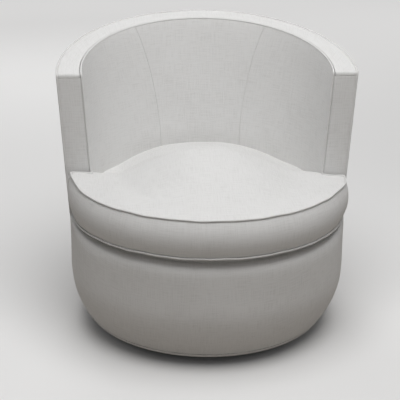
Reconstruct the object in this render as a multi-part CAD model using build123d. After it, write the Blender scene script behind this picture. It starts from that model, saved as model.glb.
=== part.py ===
from build123d import *
import os
from math import asin, atan, cos, pi, sin, sqrt

# Upholstered tub chair that turns on a ball-bearing plate over a hidden round plinth.
# Millimetres. +Z up, -Y is the front, the origin is on the floor under the swivel axis.

# Drum below the seat, measured over its cover
drum_radius = 356.0
drum_tuck = 44.0
drum_bottom = 26.0
drum_widest = 161.0
hem_height = 9.0
hem_proud = 0.8

# Deck that the loose cushion lies on
seat_ring_top = 280.0
deck_top = 303.0
lip_radius = 12.0
seat_ring_lap = 55.0

# Tub wall: two flared shells between the seat ring and a rim that rises to the back
rim_height = 667.0
rim_slope = 0.206
rim_flare = 24.0
rim_centre = 8.0
rim_band = 63.0
cavity_rim_centre = 15.3
seat_wall = 66.6
cavity_foot_centre = -46.6
arm_front = -35.6
arm_rake = 0.051
seam_half_width_foot = 84.0
seam_half_width_rim = 160.0

# Layers of the upholstery and its frame
cover = 2.0
wadding = 8.0
board = 3.0
back_foam = 20.0
arm_wadding = 6.0
ply = 18.0
rib_ply = 15.0
layer_gap = 0.2
dust_cloth = 1.0
deck_pad_gap = 0.6

# Piping sewn into the edges
piping_radius = 2.8
piping_proud = 1.3
piping_clearance = 1.2
rim_clearance = 0.3

# Loose seat cushion with ears in front of the arms
cushion_lift = 0.4
cushion_gap = 3.2
ear_gap = 5.0
ear_corner = 14.0
neck_corner = 2.0
core_corner = 4.0
cushion_centre = -13.0
cushion_top_setback = 4.5
cushion_bottom_setback = 11.0
cushion_top = 407.0
cushion_bulge = 10.0
cushion_wrap = 14.0
bottom_seam_rise = 5.0
crown_height = 53.0
crown_radius = 625.0
crown_skirt = 200.0
crown_centre = -35.0
zip_height = 12.0
zip_thickness = 1.0
zip_level = 340.0
zip_front = 110.0

# Frame inside the drum
bottom_ring_inner = 215.0
rib_inner = 255.0
rib_angles = (0, 50, 90, 130, 180, 230, 270, 310)
former_angles = (30, 60, 90, 120, 150)
rail_width = 70.0
rail_height = 40.0
rail_half_length = 268.0
dust_cover_inner = 165.0

# Seat webbing
strap_width = 50.0
strap_thickness = 1.5
strap_pitch = 100.0
strap_count = 4
strap_lap = 25.0

# Swivel plate and plinth
glide_height = 4.0
glide_radius = 15.0
glide_setback = 35.0
glide_count = 6
plinth_radius = 240.0
plinth_thickness = 18.0
plate_side = 220.0
plate_corner = 20.0
plate_metal = 2.5
bolt_spacing = 184.0
ball_circle = 80.0
ball_radius = 5.0
ball_count = 16
race_clearance = 0.15
race_opening = 3.0
cage_metal = 1.6
cage_width = 16.0
cage_clearance = 0.2
race_shoulder = 5.5
skirt_reach = 18.0
skirt_lap = 2.0
rivet_radius = 10.0
rivet_head_radius = 16.0
rivet_head = 2.0
rivet_running = 0.05
screw_radius = 2.4
screw_head_radius = 5.0
screw_head = 3.0
screw_depth = 12.0
bolt_radius = 3.0
bolt_head_radius = 6.0
bolt_head = 4.0
nut_radius = 6.5
nut_height = 5.0
hole_clearance = 0.2

# Radii, levels and depths worked out from the sizes above
drum_bottom_radius = drum_radius - drum_tuck
rim_radius = drum_radius + rim_flare
cavity_rim_radius = rim_radius - rim_band
cavity_foot_radius = drum_radius - seat_wall
cushion_top_radius = drum_radius - cushion_top_setback
cushion_bottom_radius = drum_radius - cushion_bottom_setback
glide_circle = plinth_radius - glide_setback
plinth_top = glide_height + plinth_thickness
bottom_ring_foot = drum_bottom + cover
bottom_ring_top = bottom_ring_foot + ply
seat_ring_foot = seat_ring_top - ply
plate_top = bottom_ring_top
ball_level = (plinth_top + plate_top) / 2
wadding_depth = cover + layer_gap
board_depth = wadding_depth + wadding + layer_gap
frame_depth = board_depth + board + layer_gap
foam_depth = cover + layer_gap
inside_board_depth = foam_depth + back_foam + layer_gap
inside_frame_depth = inside_board_depth + board + layer_gap
rail_depth = wadding_depth + wadding + layer_gap
former_depth = rail_depth + ply
post_depth = cover + layer_gap + arm_wadding + layer_gap
piping_inset = piping_radius - piping_proud
piping_room = piping_inset + piping_radius + piping_clearance
rim_room = piping_inset + piping_radius + rim_clearance
cushion_foot = deck_top + cushion_lift
bottom_seam = cushion_foot + bottom_seam_rise
top_seam = cushion_top - piping_inset
ear_back = arm_front - ear_gap
strap_top = seat_ring_top + 2 * strap_thickness

# Reference planes: the sloping rim, the raked fronts of the arms, and the upright below them
rim_angle = atan(rim_slope)
rim_plane = Plane((0, 0, rim_height), x_dir=(1, 0, 0), z_dir=(0, -rim_slope, 1))
arm_plane = Plane((0, arm_front, seat_ring_top), x_dir=(1, 0, 0), z_dir=(0, -1, arm_rake))
side_plane = Plane((0, arm_front, 0), x_dir=(1, 0, 0), z_dir=(0, -1, 0))

os.makedirs("parts", exist_ok=True)


def write(name, *solids):
    shape = solids[0] if len(solids) == 1 else Compound(children=list(solids))
    export_step(shape, f"parts/{name}.step")


def behind(shape, plane, depth=0.0):
    # The part of a shape on the far side of a plane, moved against its normal by depth
    return split(shape, bisect_by=plane.offset(-depth), keep=Keep.BOTTOM)


def ahead(shape, plane, depth=0.0):
    return split(shape, bisect_by=plane.offset(-depth), keep=Keep.TOP)


def level_slab(shape, low, high):
    return behind(ahead(shape, Plane.XY, -low), Plane.XY, -high)


def disc(radius, low, high, x=0.0, y=0.0):
    return extrude(Plane((x, y, low)) * Circle(radius), amount=high - low)


def halves(shape):
    # Left and right piece of a symmetric pair, as seen from the front
    return shape.solids().sort_by(Axis.X)


def turned(profile, x=0.0, y=0.0):
    # Revolve a profile drawn as (radius, height) about an upright axis
    return Pos(x, y) * revolve(Plane.XZ * profile, axis=Axis.Z)


# Drum and lip forms


def drum_arc_radius():
    reach = drum_radius - drum_bottom_radius
    rise = drum_widest - drum_bottom
    return (reach**2 + rise**2) / (2 * reach)


def drum_reach(level, inset=0.0):
    # Radius of the drum at a level on its rounded lower part
    arc = drum_arc_radius()
    return drum_radius - arc + sqrt((arc - inset) ** 2 - (drum_widest - level) ** 2)


def drum_form(inset):
    arc = drum_arc_radius() - inset
    centre = drum_radius - drum_arc_radius()
    half_turn = asin((drum_widest - drum_bottom) / arc) / 2
    middle = (centre + arc * cos(half_turn), drum_widest - arc * sin(half_turn))
    foot = (drum_reach(drum_bottom, inset), drum_bottom)
    side = drum_radius - inset
    outline = [
        Line((0, drum_bottom), foot),
        ThreePointArc(foot, middle, (side, drum_widest)),
        Polyline((side, drum_widest), (side, seat_ring_top), (0, seat_ring_top), (0, drum_bottom)),
    ]
    return turned(make_face(outline))


def lip_form(inset):
    side = drum_radius - inset
    top = deck_top - inset
    corner = lip_radius - inset
    outline = [
        Polyline((0, top), (0, seat_ring_top), (side, seat_ring_top), (side, top - corner)),
        RadiusArc((side, top - corner), (side - corner, top), corner),
        Line((side - corner, top), (0, top)),
    ]
    return turned(make_face(outline))


def drum_shell(outer, inner, low, high):
    return level_slab(drum_form(outer) - drum_form(inner), low, high)


# Tub wall forms


def outer_form(inset):
    foot = Plane.XY.offset(seat_ring_top) * Circle(drum_radius - inset)
    rim = rim_plane * Pos(0, rim_centre) * Circle(rim_radius - inset)
    return loft([foot, rim], ruled=True)


def cavity_form(grow):
    foot = Plane((0, cavity_foot_centre, seat_ring_top)) * Circle(cavity_foot_radius + grow)
    rim = rim_plane * Pos(0, cavity_rim_centre) * Circle(cavity_rim_radius + grow)
    return loft([foot, rim], ruled=True)


def wall(outer, inner, top, front):
    # The tub wall drawn in from its outside, inside, rim and arm fronts
    body = outer_form(outer) - cavity_form(inner)
    return behind(behind(body, rim_plane, top), arm_plane, front)


def outer_layer(outer, inner, top, front):
    shell = outer_form(outer) - outer_form(inner)
    return behind(behind(shell, rim_plane, top), arm_plane, front)


def inner_layer(inner, outer, top, front):
    shell = cavity_form(outer) - cavity_form(inner)
    return behind(behind(shell, rim_plane, top), arm_plane, front)


# Plinth and swivel


def bolt_points():
    half = bolt_spacing / 2
    return [(sx * half, sy * half) for sx in (-1, 1) for sy in (-1, 1)]


def make_plinth():
    body = disc(plinth_radius, glide_height, plinth_top)
    for x, y in bolt_points():
        body -= disc(screw_radius + hole_clearance, plinth_top - screw_depth, plinth_top, x, y)
    return body


def make_glides():
    spots = PolarLocations(glide_circle, glide_count)
    return [spot * disc(glide_radius, 0, glide_height) for spot in spots]


def race_profile():
    # Half of the ball track, its skirt down to the flange and its web in to the rivet
    groove = ball_radius + race_clearance
    back = groove + plate_metal
    edge = race_opening / 2
    flange_drop = ball_level - plinth_top
    skirt_top = ball_circle + race_shoulder
    skirt_foot = ball_circle + skirt_reach
    ring = Circle(back) - Circle(groove)
    ring = ring & Pos(0, -edge - back) * Rectangle(2 * back, 2 * back)
    skirt = Polygon(
        (skirt_top - ball_circle, -edge),
        (back - layer_gap, -edge),
        (skirt_foot - ball_circle, plate_metal - flange_drop),
        (skirt_foot - ball_circle + skirt_lap, plate_metal - flange_drop),
        (skirt_foot - ball_circle + skirt_lap, -flange_drop),
        (skirt_foot - ball_circle - skirt_lap, -flange_drop),
        align=None,
    )
    web_length = ball_circle - groove - rivet_radius
    web = Pos(-groove - web_length / 2, -edge - plate_metal / 2) * Rectangle(web_length, plate_metal)
    return Pos(ball_circle, 0) * (ring + skirt + web)


def make_swivel_plate(bore, hole):
    # The lower plate, about the ball level; the upper one is this plate turned over
    flange = extrude(RectangleRounded(plate_side, plate_side, plate_corner), amount=plate_metal)
    flange = Pos(0, 0, plinth_top - ball_level) * flange
    flange -= Pos(0, 0, -plate_top) * disc(ball_circle + skirt_reach, 0, 2 * plate_top)
    body = flange + turned(race_profile())
    drop = plate_top - ball_level
    body -= disc(bore, -drop, drop)
    for x, y in bolt_points():
        body -= disc(hole, -drop, drop, x, y)
    return body


def make_rivet():
    half_gap = race_opening / 2
    web_back = half_gap + plate_metal
    head_top = web_back + rivet_running + rivet_head
    shank = disc(rivet_radius, -web_back - rivet_head, head_top)
    low_head = disc(rivet_head_radius, -web_back - rivet_head, -web_back)
    high_head = disc(rivet_head_radius, web_back + rivet_running, head_top)
    return Pos(0, 0, ball_level) * (shank + low_head + high_head)


def ball_spots():
    return PolarLocations(ball_circle, ball_count)


def make_cage():
    inner = ball_circle - cage_width / 2
    ring = disc(inner + cage_width, ball_level - cage_metal / 2, ball_level + cage_metal / 2)
    ring -= disc(inner, 0, 2 * ball_level)
    for spot in ball_spots():
        ring -= spot * disc(ball_radius + cage_clearance, 0, 2 * ball_level)
    return ring


def make_balls():
    return [Pos(0, 0, ball_level) * spot * Sphere(ball_radius) for spot in ball_spots()]


def make_screw(x, y):
    flange_top = plinth_top + plate_metal
    shank = disc(screw_radius, plinth_top - screw_depth, flange_top, x, y)
    return shank + disc(screw_head_radius, flange_top, flange_top + screw_head, x, y)


def make_bolt(x, y):
    flange_foot = plate_top - plate_metal
    rail_top = plate_top + rail_height
    shank = disc(bolt_radius, flange_foot, rail_top + nut_height, x, y)
    return shank + disc(bolt_head_radius, flange_foot - bolt_head, flange_foot, x, y)


def make_nut(x, y):
    rail_top = plate_top + rail_height
    blank = extrude(Plane((x, y, rail_top)) * RegularPolygon(nut_radius, 6), amount=nut_height)
    return blank - disc(bolt_radius + hole_clearance, rail_top, rail_top + nut_height, x, y)


# Frame


def make_swivel_rail(side):
    bar = Box(2 * rail_half_length, rail_width, rail_height)
    bar = Pos(0, side * bolt_spacing / 2, plate_top + rail_height / 2) * bar
    for x, y in bolt_points():
        bar -= disc(bolt_radius + hole_clearance, plate_top, plate_top + rail_height, x, y)
    return bar


def make_bottom_ring():
    ring = level_slab(drum_form(frame_depth), bottom_ring_foot, bottom_ring_top)
    return ring - disc(bottom_ring_inner, 0, plate_top + ply)


def make_seat_ring():
    ring = level_slab(drum_form(frame_depth), seat_ring_foot, seat_ring_top)
    opening = cavity_foot_radius - seat_ring_lap
    return ring - disc(opening, 0, 2 * seat_ring_top, 0, cavity_foot_centre)


def make_ribs():
    core = level_slab(drum_form(frame_depth), bottom_ring_top, seat_ring_foot)
    depth = drum_radius - rib_inner
    plank = Pos(rib_inner + depth / 2, 0, seat_ring_top / 2) * Box(depth, rib_ply, seat_ring_top)
    return [(core & Rot(0, 0, angle) * plank).solid() for angle in rib_angles]


def make_formers():
    core = wall(frame_depth, inside_frame_depth, former_depth, post_depth)
    plank = Pos(rim_radius / 2, 0, rim_height) * Box(rim_radius, ply, 2 * rim_height)
    return [(core & Rot(0, 0, angle) * plank).solid() for angle in former_angles]


def make_arm_posts():
    core = wall(frame_depth, inside_frame_depth, former_depth, post_depth)
    return halves(ahead(core, arm_plane, post_depth + ply))


def make_top_rail():
    return ahead(wall(frame_depth, inside_frame_depth, rail_depth, post_depth), rim_plane, former_depth)


def make_webbing(along_y):
    opening = cavity_foot_radius - seat_ring_lap
    level = seat_ring_top + (0 if along_y else strap_thickness) + strap_thickness / 2
    straps = []
    for index in range(strap_count):
        offset = (index - (strap_count - 1) / 2) * strap_pitch
        length = 2 * sqrt(opening**2 - offset**2) + 2 * strap_lap
        if along_y:
            strap = Pos(offset, cavity_foot_centre, level) * Box(strap_width, length, strap_thickness)
        else:
            strap = Pos(0, cavity_foot_centre + offset, level) * Box(length, strap_width, strap_thickness)
        straps.append(strap)
    return straps


# Upholstery of the drum and deck


def deck_disc(low, high):
    return disc(cavity_foot_radius - deck_pad_gap, low, high, 0, cavity_foot_centre)


def clear_of_deck(shape):
    return shape - disc(cavity_foot_radius, 0, 2 * deck_top, 0, cavity_foot_centre)


def make_edge_roll():
    roll = lip_form(wadding_depth)
    return ahead(clear_of_deck(roll), side_plane, -layer_gap)


def make_front_cover():
    side = drum_shell(0, cover, drum_bottom + hem_height, seat_ring_top)
    lip = clear_of_deck(lip_form(0) - lip_form(cover))
    return ahead(side + lip, side_plane, -layer_gap)


def make_outside_cover():
    side = behind(drum_shell(0, cover, drum_bottom + hem_height, seat_ring_top), side_plane)
    return clear_of_arm_cords(side + outer_layer(0, cover, rim_room, cover))


def make_dust_cover():
    foot = bottom_ring_foot - dust_cloth
    sheet = disc(drum_reach(foot, wadding_depth), foot, bottom_ring_foot)
    return sheet - disc(dust_cover_inner, 0, plate_top)


# Upholstery of the tub wall


def rim_cord(radius, centre):
    # Piping round the rim, sunk in its edge and cut off at the arm fronts
    ring = rim_plane.offset(-piping_inset) * Pos(0, centre) * Torus(radius, piping_radius)
    return behind(ring, arm_plane, cover)


def arm_edge(foot_radius, foot_centre, top_radius, top_centre, sink):
    # Foot and head of a cord sunk in a right arm's front edge, where a wall form meets the arm plane
    head_y = (arm_front + arm_rake * (rim_height - seat_ring_top)) / (1 - arm_rake * rim_slope)
    along = head_y / cos(rim_angle) - top_centre
    foot_x = sqrt(foot_radius**2 - (arm_front - foot_centre) ** 2)
    head_x = sqrt(top_radius**2 - along**2)
    foot = Vector(foot_x + sink, arm_front + piping_inset, seat_ring_top)
    head = Vector(head_x + sink, head_y + piping_inset, rim_height + rim_slope * head_y)
    return foot, head


def inner_edge():
    return arm_edge(cavity_foot_radius, cavity_foot_centre, cavity_rim_radius, cavity_rim_centre, piping_inset)


def outer_edge():
    return arm_edge(drum_radius, 0, rim_radius, rim_centre, -piping_inset)


def arm_cord(edge, side, tube, low, top_room):
    # Straight cord up an arm's front edge, from a level to just under the rim
    foot, head = edge
    run = Vector(side * (head.X - foot.X), head.Y - foot.Y, head.Z - foot.Z)
    skipped = (low - seat_ring_top) / run.Z
    start = Vector(side * foot.X, foot.Y, foot.Z) + run * skipped
    length = run.length * (1 - skipped) - top_room
    return extrude(Plane(start, z_dir=run) * Circle(tube), amount=length)


def clear_of_arm_cords(shape):
    for edge in (inner_edge(), outer_edge()):
        for side in (-1, 1):
            shape = shape - arm_cord(edge, side, piping_radius + layer_gap, deck_top, 0)
    return shape


def make_arm_cord(edge, side):
    return arm_cord(edge, side, piping_radius, deck_top + layer_gap, piping_room)


def make_top_band():
    return ahead(wall(rim_room, piping_room, 0, 0), rim_plane, cover)


def make_top_wadding():
    slab = wall(rim_room, piping_room, wadding_depth, cover + layer_gap)
    return ahead(slab, rim_plane, rail_depth - layer_gap)


def make_arm_panels():
    body = ahead(wall(0, piping_room, piping_room, 0), arm_plane, cover)
    return halves(clear_of_arm_cords(body))


def make_arm_wadding():
    body = wall(wadding_depth, foam_depth, rail_depth, cover + layer_gap)
    return halves(clear_of_arm_cords(ahead(body, arm_plane, post_depth - layer_gap)))


def seam_plane(side):
    rise = rim_height + rim_slope * cavity_rim_radius - seat_ring_top
    lean = (seam_half_width_rim - seam_half_width_foot) / rise
    return Plane((side * seam_half_width_foot, 0, seat_ring_top), x_dir=(0, 1, 0), z_dir=(side, 0, -lean))


def make_inside_panels():
    skin = clear_of_arm_cords(inner_layer(0, cover, piping_room, piping_room))
    left = ahead(skin, seam_plane(-1)).solid()
    right = ahead(skin, seam_plane(1)).solid()
    centre = behind(behind(skin, seam_plane(-1)), seam_plane(1)).solid()
    return left, centre, right


# Loose cushion


def cushion_side(level):
    # Radius of the bulged front boxing at a level
    along = (level - cushion_foot) / (cushion_top - cushion_foot)
    straight = cushion_bottom_radius + (cushion_top_radius - cushion_bottom_radius) * along
    return straight + 4 * cushion_bulge * along * (1 - along)


def cushion_disc(inset):
    middle_level = (cushion_foot + cushion_top) / 2
    foot = (cushion_bottom_radius - inset, cushion_foot + inset)
    middle = (cushion_side(middle_level) - inset, middle_level)
    head = (cushion_top_radius - inset, cushion_top - inset)
    outline = [
        Line((0, foot[1]), foot),
        ThreePointArc(foot, middle, head),
        Polyline(head, (0, head[1]), (0, foot[1])),
    ]
    return turned(make_face(outline), 0, cushion_centre)


def crown_form(inset):
    # Dome that runs out into the flat of the top panel through a hollow skirt
    dome = crown_radius - inset
    skirt = crown_skirt + inset
    flat = cushion_top - inset
    dome_centre = cushion_top + crown_height - crown_radius
    skirt_level = flat + skirt
    reach = sqrt((dome + skirt) ** 2 - (skirt_level - dome_centre) ** 2)
    share = dome / (dome + skirt)
    meet = (reach * share, dome_centre + (skirt_level - dome_centre) * share)
    peak = (0, dome_centre + dome)
    outline = [
        RadiusArc(peak, meet, dome),
        RadiusArc(meet, (reach, flat), -skirt),
        Polyline((reach, flat), (0, flat), peak),
    ]
    return turned(make_face(outline), 0, crown_centre)


def upright_corners(shape, line):
    # Upright edges of the ears' outer corners, on the ears' back line
    beyond = (cavity_foot_radius + cushion_bottom_radius) / 2
    found = []
    for edge in shape.edges():
        spot = edge.center()
        tall = edge.bounding_box().size.Z > (cushion_top - cushion_foot) / 2
        if tall and abs(spot.X) > beyond and abs(spot.Y - line) < cover / 2:
            found.append(edge)
    return found


def cushion_form(inset):
    body = cushion_disc(inset) + crown_form(inset)
    line = ear_back - inset
    ear_plane = Plane((0, line, 0), x_dir=(1, 0, 0), z_dir=(0, -1, 0))
    front = ahead(body, ear_plane)
    back = behind(body, ear_plane) & cavity_form(-cushion_gap - inset)
    body = front + back
    return fillet(upright_corners(body, line), max(ear_corner - inset, core_corner))


def cavity_point(angle, level):
    # Point of the cavity wall at a level, on the straight line that joins its foot to its rim
    foot_x = cavity_foot_radius * cos(angle)
    foot_y = cavity_foot_centre + cavity_foot_radius * sin(angle)
    rim_x = cavity_rim_radius * cos(angle)
    along_rim = cavity_rim_centre + cavity_rim_radius * sin(angle)
    rim_rise = rim_height + along_rim * sin(rim_angle) - seat_ring_top
    share = (level - seat_ring_top) / rim_rise
    return foot_x + share * (rim_x - foot_x), foot_y + share * (along_rim * cos(rim_angle) - foot_y)


def cavity_at(level):
    # Centre and radius of the circle through the cavity's sides and back at a level
    side_x, side_y = cavity_point(0, level)
    back_y = cavity_point(pi / 2, level)[1]
    centre = (back_y**2 - side_x**2 - side_y**2) / (2 * (back_y - side_y))
    return centre, back_y - centre


def cushion_path(level):
    # Line of the piping at a seam level: front arc, ears and the arc inside the tub
    centre, radius = cavity_at(level)
    inner = radius - cushion_gap - piping_inset
    outer = cushion_side(level) - piping_inset
    line = ear_back - piping_inset
    half = 2 * outer
    front = Pos(0, cushion_centre) * Circle(outer) & Pos(0, line - half) * Rectangle(2 * half, 2 * half)
    back = Pos(0, centre) * Circle(inner) & Pos(0, line + half) * Rectangle(2 * half, 2 * half)
    outline = front + back
    corners = outline.vertices().filter_by(lambda spot: abs(spot.X) > (inner + outer) / 2)
    outline = fillet(corners, ear_corner - piping_inset)
    necks = outline.vertices().filter_by(lambda spot: abs(spot.X) < inner + cushion_gap)
    outline = fillet(necks, neck_corner + piping_inset)
    return Pos(0, 0, level) * outline.face().outer_wire()


def cushion_cord(level, tube):
    path = cushion_path(level)
    section = Plane(path.position_at(0), z_dir=path.tangent_at(0)) * Circle(tube)
    return sweep(section, path=path)


def piping_grooves():
    return [cushion_cord(level, piping_radius + layer_gap) for level in (bottom_seam, top_seam)]


def make_cushion_cover():
    # Bottom panel, boxing and top panel, parted at the two seams
    shell = cushion_form(0) - cushion_form(cover)
    low_groove, high_groove = piping_grooves()
    bottom_panel = behind(shell, Plane.XY, -bottom_seam) - low_groove
    boxing = level_slab(shell, bottom_seam, top_seam - piping_inset) - low_groove - high_groove
    top_panel = ahead(shell, Plane.XY, piping_inset - top_seam) - high_groove
    # The groove parts the panel from thin crumbs along its edge
    return bottom_panel, boxing, top_panel.solids().sort_by(SortBy.VOLUME)[-1]


def make_cushion_wrap(outer, inner):
    wrap = cushion_form(outer) - cushion_form(inner)
    for groove in piping_grooves():
        wrap = wrap - groove
    return wrap


def make_zip():
    tape = cavity_form(layer_gap / 2 + zip_thickness - cushion_gap) - cavity_form(layer_gap / 2 - cushion_gap)
    tape = level_slab(tape, zip_level, zip_level + zip_height)
    return behind(tape, Plane((0, zip_front, 0), x_dir=(1, 0, 0), z_dir=(0, -1, 0)))


def build_floor_base():
    write("plinth", make_plinth())
    write("floor_glides", *make_glides())
    level = Pos(0, 0, ball_level)
    write("lower_swivel_plate", level * make_swivel_plate(rivet_radius, screw_radius + hole_clearance))
    write("swivel_rivet", make_rivet())
    write("lower_plate_screws", *[make_screw(x, y) for x, y in bolt_points()])


def build_bearing():
    write("ball_cage", make_cage())
    write("bearing_balls", *make_balls())


def build_frame():
    plate = make_swivel_plate(rivet_radius + rivet_running, bolt_radius + hole_clearance)
    write("upper_swivel_plate", Pos(0, 0, ball_level) * Rot(180, 0, 0) * plate)
    write("upper_plate_bolts", *[make_bolt(x, y) for x, y in bolt_points()])
    write("upper_plate_nuts", *[make_nut(x, y) for x, y in bolt_points()])
    write("swivel_rail_front", make_swivel_rail(-1))
    write("swivel_rail_rear", make_swivel_rail(1))
    write("bottom_ring", make_bottom_ring())
    write("base_ribs", *make_ribs())
    write("seat_ring", make_seat_ring())
    left, right = make_arm_posts()
    write("arm_post_left", left)
    write("arm_post_right", right)
    write("back_formers", *make_formers())
    write("top_rail", make_top_rail())
    write("seat_webbing_lengthwise", *make_webbing(True))
    write("seat_webbing_crosswise", *make_webbing(False))


def build_drum():
    write("base_board", drum_shell(board_depth, board_depth + board, bottom_ring_foot, seat_ring_top))
    write("base_wadding", drum_shell(wadding_depth, wadding_depth + wadding, bottom_ring_foot, seat_ring_top))
    write("base_front_cover", make_front_cover())
    write("base_hem", drum_shell(-hem_proud, cover, drum_bottom, drum_bottom + hem_height))
    write("dust_cover", make_dust_cover())
    write("front_edge_roll", make_edge_roll())
    write("deck_pad", deck_disc(strap_top + layer_gap, deck_top - cover - layer_gap))
    write("deck_cover", deck_disc(deck_top - cover, deck_top))


def build_tub():
    write("outside_back_board", outer_layer(board_depth, board_depth + board, rail_depth, post_depth))
    write("outside_back_wadding", outer_layer(wadding_depth, wadding_depth + wadding, rail_depth, post_depth))
    write("outside_back_cover", make_outside_cover())
    board_back = inside_board_depth + board
    write("inside_back_board", inner_layer(inside_board_depth, board_back, rail_depth, post_depth))
    write("inside_back_foam", inner_layer(foam_depth, foam_depth + back_foam, rail_depth, post_depth))
    left, centre, right = make_inside_panels()
    write("inside_back_panel_left", left)
    write("inside_back_panel_centre", centre)
    write("inside_back_panel_right", right)
    write("top_wadding", make_top_wadding())
    write("top_band", make_top_band())
    left, right = make_arm_wadding()
    write("arm_wadding_left", left)
    write("arm_wadding_right", right)
    left, right = make_arm_panels()
    write("arm_front_panel_left", left)
    write("arm_front_panel_right", right)
    write("inner_rim_piping", rim_cord(cavity_rim_radius + piping_inset, cavity_rim_centre))
    write("outer_rim_piping", rim_cord(rim_radius - piping_inset, rim_centre))
    write("arm_piping_left", make_arm_cord(inner_edge(), -1))
    write("arm_piping_right", make_arm_cord(inner_edge(), 1))
    write("arm_outer_piping_left", make_arm_cord(outer_edge(), -1))
    write("arm_outer_piping_right", make_arm_cord(outer_edge(), 1))


def build_cushion():
    bottom_panel, boxing, top_panel = make_cushion_cover()
    write("cushion_bottom_panel", bottom_panel)
    write("cushion_boxing", boxing)
    write("cushion_top_panel", top_panel)
    write("cushion_top_piping", cushion_cord(top_seam, piping_radius))
    write("cushion_bottom_piping", cushion_cord(bottom_seam, piping_radius))
    wrap_inset = cover + layer_gap
    core_inset = wrap_inset + cushion_wrap
    write("cushion_wrap", make_cushion_wrap(wrap_inset, core_inset))
    write("cushion_core", cushion_form(core_inset + layer_gap))
    write("cushion_zip", make_zip())


build_floor_base()
build_bearing()
build_frame()
build_drum()
build_tub()
build_cushion()
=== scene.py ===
from math import asin, atan, cos, pi, radians, sin, sqrt

import bmesh
import bpy
import numpy as np
from mathutils import Matrix, Vector


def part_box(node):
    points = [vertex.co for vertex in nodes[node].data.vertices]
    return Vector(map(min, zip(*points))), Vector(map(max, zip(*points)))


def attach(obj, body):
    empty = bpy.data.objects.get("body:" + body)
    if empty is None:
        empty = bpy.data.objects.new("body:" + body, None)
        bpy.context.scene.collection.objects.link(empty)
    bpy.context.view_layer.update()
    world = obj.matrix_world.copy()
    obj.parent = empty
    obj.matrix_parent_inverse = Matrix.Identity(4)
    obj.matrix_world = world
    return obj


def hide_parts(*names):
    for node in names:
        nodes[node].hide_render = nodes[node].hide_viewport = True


# Looks of an upholstered tub chair on a hidden swivel plate.
# Metres, in the frame's axes: +Z up, -Y is the front, the swivel axis is Z.

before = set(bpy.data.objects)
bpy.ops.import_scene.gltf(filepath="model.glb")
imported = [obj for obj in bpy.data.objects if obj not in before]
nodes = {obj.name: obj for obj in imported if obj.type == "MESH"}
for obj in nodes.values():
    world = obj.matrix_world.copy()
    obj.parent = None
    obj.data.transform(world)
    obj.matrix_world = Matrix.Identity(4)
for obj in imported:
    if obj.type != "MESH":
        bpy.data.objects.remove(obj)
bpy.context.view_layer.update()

# Drum and deck
drum_radius = 0.356
drum_bottom_radius = 0.312
drum_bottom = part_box("base_hem")[0].z
drum_widest = 0.161
hem_height = 0.009
hem_proud = 0.0013
hem_cloth = 0.003
hem_corner = 0.0012
hem_columns = 288
seat_ring_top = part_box("seat_ring")[1].z
deck_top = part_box("deck_cover")[1].z
deck_pad_depth = 0.019
deck_roll = 0.004
deck_gap = 0.0008
deck_cells = 72
tuck = 0.012

# Front edge of the base: between the arms it falls, rolls over as a lip and bows out
lip_width = 0.012
lip_height = 0.052
lip_at_arms = 0.003
lip_fade = 0.18
lip_power = 2.6
lip_clearance = 0.0005
front_bow = 0.011
front_fall = 0.012
bow_height = 0.150
base_length = 1.0

# Dust cover and seat webbing
dust_opening = 0.166
dust_setback = 0.001
dust_gap = 0.0003
dust_sag = 0.0012
dust_columns = 144
strap_count = 4
strap_pitch = 0.100
strap_width = 0.050
strap_opening = 0.2344
strap_overlap = 0.025
selvedge_share = 0.02
selvedge_thinness = 0.04

# Tub wall: (radius, centre) of its circles at the seat ring and in the tilted rim plane
rim_height = 0.667
rim_slope = 0.206
outer_foot = (drum_radius, 0.0)
outer_rim = (0.380, 0.008)
cavity_foot = (0.2894, -0.0466)
cavity_rim = (0.317, 0.0153)
arm_front = -0.0356
arm_rake = 0.051
arm_solve_steps = 12
rim_angle = atan(rim_slope)
rim_normal = np.array([0.0, -sin(rim_angle), cos(rim_angle)])
wall_height = rim_height - seat_ring_top

# Padding of the covers
back_padding = 0.022
skin_padding = 0.010
arm_padding = 0.008
edge_roll = 0.0024
seam_roll = 0.0016
fine_roll = 0.0009
roll_steps = 6
edge_depth_rolls = 1.3
wave_height = 0.0007
ripple_height = 0.0002
skin_puff = 0.001
arm_puff = 0.0018
band_puff = 0.002
edge_puff_reach = 0.02
outside_length = 1.2

# Inside back: its seams and the swell of its filling
seam_half_width_foot = 0.110
seam_half_width_rim = 0.178
seam_sweep = 2.4
inside_puff = 0.0025
inside_puff_reach = 0.020
inside_panel_width = 0.25
swell_start = 0.16
swell_rise = 0.20
swell_lean = 1.6
swell_depth = 0.013
seat_middle = (0, 0, 0.60)

# Top band, which folds down over the arm fronts
arm_width = 0.06
band_wrap = 0.010
band_fold = 0.0035
band_end_share = 0.04
band_end_columns = 30
band_columns = 150

# Piping, with the (share, reach, phase) of the waves in its thickness
piping_radius = 0.0025
piping_inset = 0.0015
piping_room = 0.0037
arm_groove = 0.0042
inside_groove = 0.0052
band_groove = 0.0054
under_cord = 0.0028
piping_corner = 0.004
piping_sides = 14
piping_step = 0.002
piping_waves = ((0.03, 0.017, 0.0), (0.02, 0.0071, 1.0))
rim_piping_up = (0.05, -0.6, 0.8)

# Loose cushion: its seams
cushion_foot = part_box("cushion_bottom_panel")[0].z
cushion_top = 0.4055
bottom_seam = 0.3090
cushion_centre = -0.013
cushion_top_radius = 0.350
cushion_bottom_radius = 0.344
cushion_gap = 0.0032
outline_step = 0.001
ear_back = -0.0406
ear_corner = 0.0035
ear_side, ear_side_blend = 0.24, 0.10
ear_front, ear_front_blend = -0.20, 0.13
left_ear_lift = 0.010
right_ear_lift = -0.011
right_ear_reach = 0.004
front_push = 0.005
front_rise = 0.0045
front_start, front_blend = -0.12, 0.20
side_push = 0.006
side_start, side_blend = -0.05, 0.08
seam_wobble = 0.0005
back_drop = 0.036
back_drop_length = 0.120

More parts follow.
